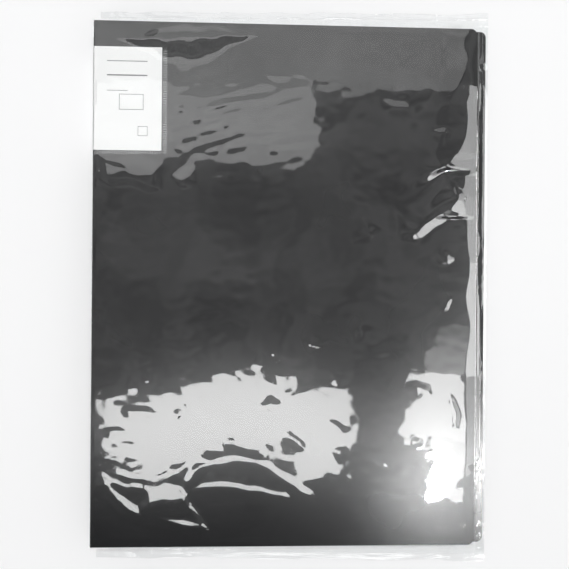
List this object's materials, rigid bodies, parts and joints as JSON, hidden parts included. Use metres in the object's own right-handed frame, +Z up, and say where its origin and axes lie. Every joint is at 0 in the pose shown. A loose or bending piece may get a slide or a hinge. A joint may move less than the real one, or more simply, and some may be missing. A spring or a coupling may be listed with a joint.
{
  "type": "clear pocket display book",
  "caption": "Large flexible display book with clear pockets on its spine, a creased black cover, a title card in a clear label pocket, and a clear film wrapper.",
  "frame": {"origin": "On the table plane, under the middle of the back cover", "axes": "+X from the spine to the fore edge, +Y from the foot to the head, +Z up out of the front cover"},
  "size_m": [0.3313, 0.466, 0.025],
  "materials": {
    "cover_sheet": "fine sand grain, low sheen",
    "binding_strip": "smooth, low sheen",
    "pocket_film": "clear film, slightly milky",
    "title_card": "smooth white card",
    "label_film": "clear film with a knurled weld",
    "wrapper_film": "clear glossy film, creased"
  },
  "bodies": {
    "back_cover": {"back_cover": "cover_sheet", "wrapper_back_film": "wrapper_film", "wrapper_head_seal": "wrapper_film", "wrapper_foot_seal": "wrapper_film"},
    "spine": {"spine_panel": "cover_sheet", "binding_strip": "binding_strip", "title_card_spine": "title_card", "label_pocket_spine": "label_film", "wrapper_spine_film": "wrapper_film"},
    "front_cover": {"front_cover": "cover_sheet", "title_card_front": "title_card", "label_pocket_front": "label_film", "wrapper_front_film": "wrapper_film"},
    "pocket_01": {"pocket_01": "pocket_film"},
    "pocket_02": {"pocket_02": "pocket_film"},
    "pocket_03": {"pocket_03": "pocket_film"},
    "pocket_04": {"pocket_04": "pocket_film"},
    "pocket_05": {"pocket_05": "pocket_film"},
    "pocket_06": {"pocket_06": "pocket_film"},
    "pocket_07": {"pocket_07": "pocket_film"},
    "pocket_08": {"pocket_08": "pocket_film"},
    "pocket_09": {"pocket_09": "pocket_film"},
    "pocket_10": {"pocket_10": "pocket_film"},
    "pocket_11": {"pocket_11": "pocket_film"},
    "pocket_12": {"pocket_12": "pocket_film"},
    "pocket_13": {"pocket_13": "pocket_film"},
    "pocket_14": {"pocket_14": "pocket_film"},
    "pocket_15": {"pocket_15": "pocket_film"},
    "pocket_16": {"pocket_16": "pocket_film"},
    "pocket_17": {"pocket_17": "pocket_film"},
    "pocket_18": {"pocket_18": "pocket_film"},
    "pocket_19": {"pocket_19": "pocket_film"},
    "pocket_20": {"pocket_20": "pocket_film"},
    "pocket_21": {"pocket_21": "pocket_film"},
    "pocket_22": {"pocket_22": "pocket_film"},
    "pocket_23": {"pocket_23": "pocket_film"},
    "pocket_24": {"pocket_24": "pocket_film"},
    "pocket_25": {"pocket_25": "pocket_film"},
    "pocket_26": {"pocket_26": "pocket_film"},
    "pocket_27": {"pocket_27": "pocket_film"},
    "pocket_28": {"pocket_28": "pocket_film"},
    "pocket_29": {"pocket_29": "pocket_film"},
    "pocket_30": {"pocket_30": "pocket_film"},
    "pocket_31": {"pocket_31": "pocket_film"},
    "pocket_32": {"pocket_32": "pocket_film"},
    "pocket_33": {"pocket_33": "pocket_film"},
    "pocket_34": {"pocket_34": "pocket_film"},
    "pocket_35": {"pocket_35": "pocket_film"},
    "pocket_36": {"pocket_36": "pocket_film"},
    "pocket_37": {"pocket_37": "pocket_film"},
    "pocket_38": {"pocket_38": "pocket_film"},
    "pocket_39": {"pocket_39": "pocket_film"},
    "pocket_40": {"pocket_40": "pocket_film"}
  },
  "joints": [
    {"name": "spine_fold", "type": "hinge", "parent": "back_cover", "child": "spine", "pos_m": [-0.16, 0, 0.00085], "axis": [0, -1, 0], "range_deg": [0, 69]},
    {"name": "front_cover_fold", "type": "hinge", "parent": "spine", "child": "front_cover", "pos_m": [-0.16876, 0, 0.02427], "axis": [0, -1, 0], "range_deg": [0, 113.5]},
    {"name": "pocket_01_turn", "type": "hinge", "parent": "spine", "child": "pocket_01", "pos_m": [-0.16703, 0, 0.02299], "axis": [0, -1, 0], "range_deg": [0, 110.3]},
    {"name": "pocket_02_turn", "type": "hinge", "parent": "spine", "child": "pocket_02", "pos_m": [-0.16671, 0, 0.02252], "axis": [0, -1, 0], "range_deg": [0, 109.7]},
    {"name": "pocket_03_turn", "type": "hinge", "parent": "spine", "child": "pocket_03", "pos_m": [-0.16638, 0, 0.02206], "axis": [0, -1, 0], "range_deg": [0, 109]},
    {"name": "pocket_04_turn", "type": "hinge", "parent": "spine", "child": "pocket_04", "pos_m": [-0.16605, 0, 0.0216], "axis": [0, -1, 0], "range_deg": [0, 108.4]},
    {"name": "pocket_05_turn", "type": "hinge", "parent": "spine", "child": "pocket_05", "pos_m": [-0.16573, 0, 0.02113], "axis": [0, -1, 0], "range_deg": [0, 107.7]},
    {"name": "pocket_06_turn", "type": "hinge", "parent": "spine", "child": "pocket_06", "pos_m": [-0.1654, 0, 0.02067], "axis": [0, -1, 0], "range_deg": [0, 107.1]},
    {"name": "pocket_07_turn", "type": "hinge", "parent": "spine", "child": "pocket_07", "pos_m": [-0.16508, 0, 0.02021], "axis": [0, -1, 0], "range_deg": [0, 106.4]},
    {"name": "pocket_08_turn", "type": "hinge", "parent": "spine", "child": "pocket_08", "pos_m": [-0.16475, 0, 0.01974], "axis": [0, -1, 0], "range_deg": [0, 105.8]},
    {"name": "pocket_09_turn", "type": "hinge", "parent": "spine", "child": "pocket_09", "pos_m": [-0.16442, 0, 0.01928], "axis": [0, -1, 0], "range_deg": [0, 105.1]},
    {"name": "pocket_10_turn", "type": "hinge", "parent": "spine", "child": "pocket_10", "pos_m": [-0.1641, 0, 0.01881], "axis": [0, -1, 0], "range_deg": [0, 104.5]},
    {"name": "pocket_11_turn", "type": "hinge", "parent": "spine", "child": "pocket_11", "pos_m": [-0.16377, 0, 0.01835], "axis": [0, -1, 0], "range_deg": [0, 103.8]},
    {"name": "pocket_12_turn", "type": "hinge", "parent": "spine", "child": "pocket_12", "pos_m": [-0.16344, 0, 0.01789], "axis": [0, -1, 0], "range_deg": [0, 103.2]},
    {"name": "pocket_13_turn", "type": "hinge", "parent": "spine", "child": "pocket_13", "pos_m": [-0.16312, 0, 0.01742], "axis": [0, -1, 0], "range_deg": [0, 102.5]},
    {"name": "pocket_14_turn", "type": "hinge", "parent": "spine", "child": "pocket_14", "pos_m": [-0.16279, 0, 0.01696], "axis": [0, -1, 0], "range_deg": [0, 101.8]},
    {"name": "pocket_15_turn", "type": "hinge", "parent": "spine", "child": "pocket_15", "pos_m": [-0.16246, 0, 0.0165], "axis": [0, -1, 0], "range_deg": [0, 101.2]},
    {"name": "pocket_16_turn", "type": "hinge", "parent": "spine", "child": "pocket_16", "pos_m": [-0.16214, 0, 0.01603], "axis": [0, -1, 0], "range_deg": [0, 100.5]},
    {"name": "pocket_17_turn", "type": "hinge", "parent": "spine", "child": "pocket_17", "pos_m": [-0.16181, 0, 0.01557], "axis": [0, -1, 0], "range_deg": [0, 99.9]},
    {"name": "pocket_18_turn", "type": "hinge", "parent": "spine", "child": "pocket_18", "pos_m": [-0.16148, 0, 0.0151], "axis": [0, -1, 0], "range_deg": [0, 99.2]},
    {"name": "pocket_19_turn", "type": "hinge", "parent": "spine", "child": "pocket_19", "pos_m": [-0.16116, 0, 0.01464], "axis": [0, -1, 0], "range_deg": [0, 98.6]},
    {"name": "pocket_20_turn", "type": "hinge", "parent": "spine", "child": "pocket_20", "pos_m": [-0.16083, 0, 0.01418], "axis": [0, -1, 0], "range_deg": [0, 97.9]},
    {"name": "pocket_21_turn", "type": "hinge", "parent": "spine", "child": "pocket_21", "pos_m": [-0.16064, 0, 0.01366], "axis": [0, -1, 0], "range_deg": [-53.4, 0]},
    {"name": "pocket_22_turn", "type": "hinge", "parent": "spine", "child": "pocket_22", "pos_m": [-0.16058, 0, 0.0131], "axis": [0, -1, 0], "range_deg": [-54.1, 0]},
    {"name": "pocket_23_turn", "type": "hinge", "parent": "spine", "child": "pocket_23", "pos_m": [-0.16052, 0, 0.01253], "axis": [0, -1, 0], "range_deg": [-54.8, 0]},
    {"name": "pocket_24_turn", "type": "hinge", "parent": "spine", "child": "pocket_24", "pos_m": [-0.16047, 0, 0.01197], "axis": [0, -1, 0], "range_deg": [-55.5, 0]},
    {"name": "pocket_25_turn", "type": "hinge", "parent": "spine", "child": "pocket_25", "pos_m": [-0.16041, 0, 0.01141], "axis": [0, -1, 0], "range_deg": [-56.1, 0]},
    {"name": "pocket_26_turn", "type": "hinge", "parent": "spine", "child": "pocket_26", "pos_m": [-0.16035, 0, 0.01084], "axis": [0, -1, 0], "range_deg": [-56.8, 0]},
    {"name": "pocket_27_turn", "type": "hinge", "parent": "spine", "child": "pocket_27", "pos_m": [-0.16029, 0, 0.01028], "axis": [0, -1, 0], "range_deg": [-57.5, 0]},
    {"name": "pocket_28_turn", "type": "hinge", "parent": "spine", "child": "pocket_28", "pos_m": [-0.16023, 0, 0.00971], "axis": [0, -1, 0], "range_deg": [-58.1, 0]},
    {"name": "pocket_29_turn", "type": "hinge", "parent": "spine", "child": "pocket_29", "pos_m": [-0.16018, 0, 0.00915], "axis": [0, -1, 0], "range_deg": [-58.8, 0]},
    {"name": "pocket_30_turn", "type": "hinge", "parent": "spine", "child": "pocket_30", "pos_m": [-0.16012, 0, 0.00859], "axis": [0, -1, 0], "range_deg": [-59.5, 0]},
    {"name": "pocket_31_turn", "type": "hinge", "parent": "spine", "child": "pocket_31", "pos_m": [-0.16006, 0, 0.00802], "axis": [0, -1, 0], "range_deg": [-60.2, 0]},
    {"name": "pocket_32_turn", "type": "hinge", "parent": "spine", "child": "pocket_32", "pos_m": [-0.16, 0, 0.00746], "axis": [0, -1, 0], "range_deg": [-60.8, 0]},
    {"name": "pocket_33_turn", "type": "hinge", "parent": "spine", "child": "pocket_33", "pos_m": [-0.15994, 0, 0.00689], "axis": [0, -1, 0], "range_deg": [-61.5, 0]},
    {"name": "pocket_34_turn", "type": "hinge", "parent": "spine", "child": "pocket_34", "pos_m": [-0.15989, 0, 0.00633], "axis": [0, -1, 0], "range_deg": [-62.2, 0]},
    {"name": "pocket_35_turn", "type": "hinge", "parent": "spine", "child": "pocket_35", "pos_m": [-0.15983, 0, 0.00576], "axis": [0, -1, 0], "range_deg": [-62.8, 0]},
    {"name": "pocket_36_turn", "type": "hinge", "parent": "spine", "child": "pocket_36", "pos_m": [-0.15977, 0, 0.0052], "axis": [0, -1, 0], "range_deg": [-63.5, 0]},
    {"name": "pocket_37_turn", "type": "hinge", "parent": "spine", "child": "pocket_37", "pos_m": [-0.15971, 0, 0.00464], "axis": [0, -1, 0], "range_deg": [-64.2, 0]},
    {"name": "pocket_38_turn", "type": "hinge", "parent": "spine", "child": "pocket_38", "pos_m": [-0.15966, 0, 0.00407], "axis": [0, -1, 0], "range_deg": [-64.9, 0]},
    {"name": "pocket_39_turn", "type": "hinge", "parent": "spine", "child": "pocket_39", "pos_m": [-0.1596, 0, 0.00351], "axis": [0, -1, 0], "range_deg": [-65.5, 0]},
    {"name": "pocket_40_turn", "type": "hinge", "parent": "spine", "child": "pocket_40", "pos_m": [-0.15954, 0, 0.00294], "axis": [0, -1, 0], "range_deg": [-66.2, 0]}
  ],
  "couplings": [
    {"joint": "pocket_01_turn", "follows": "front_cover_fold", "ratio": 0.9717},
    {"joint": "pocket_02_turn", "follows": "front_cover_fold", "ratio": 0.9659},
    {"joint": "pocket_03_turn", "follows": "front_cover_fold", "ratio": 0.9602},
    {"joint": "pocket_04_turn", "follows": "front_cover_fold", "ratio": 0.9544},
    {"joint": "pocket_05_turn", "follows": "front_cover_fold", "ratio": 0.9487},
    {"joint": "pocket_06_turn", "follows": "front_cover_fold", "ratio": 0.9429},
    {"joint": "pocket_07_turn", "follows": "front_cover_fold", "ratio": 0.9372},
    {"joint": "pocket_08_turn", "follows": "front_cover_fold", "ratio": 0.9314},
    {"joint": "pocket_09_turn", "follows": "front_cover_fold", "ratio": 0.9257},
    {"joint": "pocket_10_turn", "follows": "front_cover_fold", "ratio": 0.9199},
    {"joint": "pocket_11_turn", "follows": "front_cover_fold", "ratio": 0.9141},
    {"joint": "pocket_12_turn", "follows": "front_cover_fold", "ratio": 0.9084},
    {"joint": "pocket_13_turn", "follows": "front_cover_fold", "ratio": 0.9026},
    {"joint": "pocket_14_turn", "follows": "front_cover_fold", "ratio": 0.8969},
    {"joint": "pocket_15_turn", "follows": "front_cover_fold", "ratio": 0.8911},
    {"joint": "pocket_16_turn", "follows": "front_cover_fold", "ratio": 0.8854},
    {"joint": "pocket_17_turn", "follows": "front_cover_fold", "ratio": 0.8796},
    {"joint": "pocket_18_turn", "follows": "front_cover_fold", "ratio": 0.8739},
    {"joint": "pocket_19_turn", "follows": "front_cover_fold", "ratio": 0.8681},
    {"joint": "pocket_20_turn", "follows": "front_cover_fold", "ratio": 0.8623},
    {"joint": "pocket_21_turn", "follows": "spine_fold", "ratio": -0.7737},
    {"joint": "pocket_22_turn", "follows": "spine_fold", "ratio": -0.7834},
    {"joint": "pocket_23_turn", "follows": "spine_fold", "ratio": -0.7932},
    {"joint": "pocket_24_turn", "follows": "spine_fold", "ratio": -0.8029},
    {"joint": "pocket_25_turn", "follows": "spine_fold", "ratio": -0.8127},
    {"joint": "pocket_26_turn", "follows": "spine_fold", "ratio": -0.8224},
    {"joint": "pocket_27_turn", "follows": "spine_fold", "ratio": -0.8321},
    {"joint": "pocket_28_turn", "follows": "spine_fold", "ratio": -0.8419},
    {"joint": "pocket_29_turn", "follows": "spine_fold", "ratio": -0.8516},
    {"joint": "pocket_30_turn", "follows": "spine_fold", "ratio": -0.8614},
    {"joint": "pocket_31_turn", "follows": "spine_fold", "ratio": -0.8711},
    {"joint": "pocket_32_turn", "follows": "spine_fold", "ratio": -0.8808},
    {"joint": "pocket_33_turn", "follows": "spine_fold", "ratio": -0.8906},
    {"joint": "pocket_34_turn", "follows": "spine_fold", "ratio": -0.9003},
    {"joint": "pocket_35_turn", "follows": "spine_fold", "ratio": -0.91},
    {"joint": "pocket_36_turn", "follows": "spine_fold", "ratio": -0.9198},
    {"joint": "pocket_37_turn", "follows": "spine_fold", "ratio": -0.9295},
    {"joint": "pocket_38_turn", "follows": "spine_fold", "ratio": -0.9393},
    {"joint": "pocket_39_turn", "follows": "spine_fold", "ratio": -0.949},
    {"joint": "pocket_40_turn", "follows": "spine_fold", "ratio": -0.9587}
  ]
}
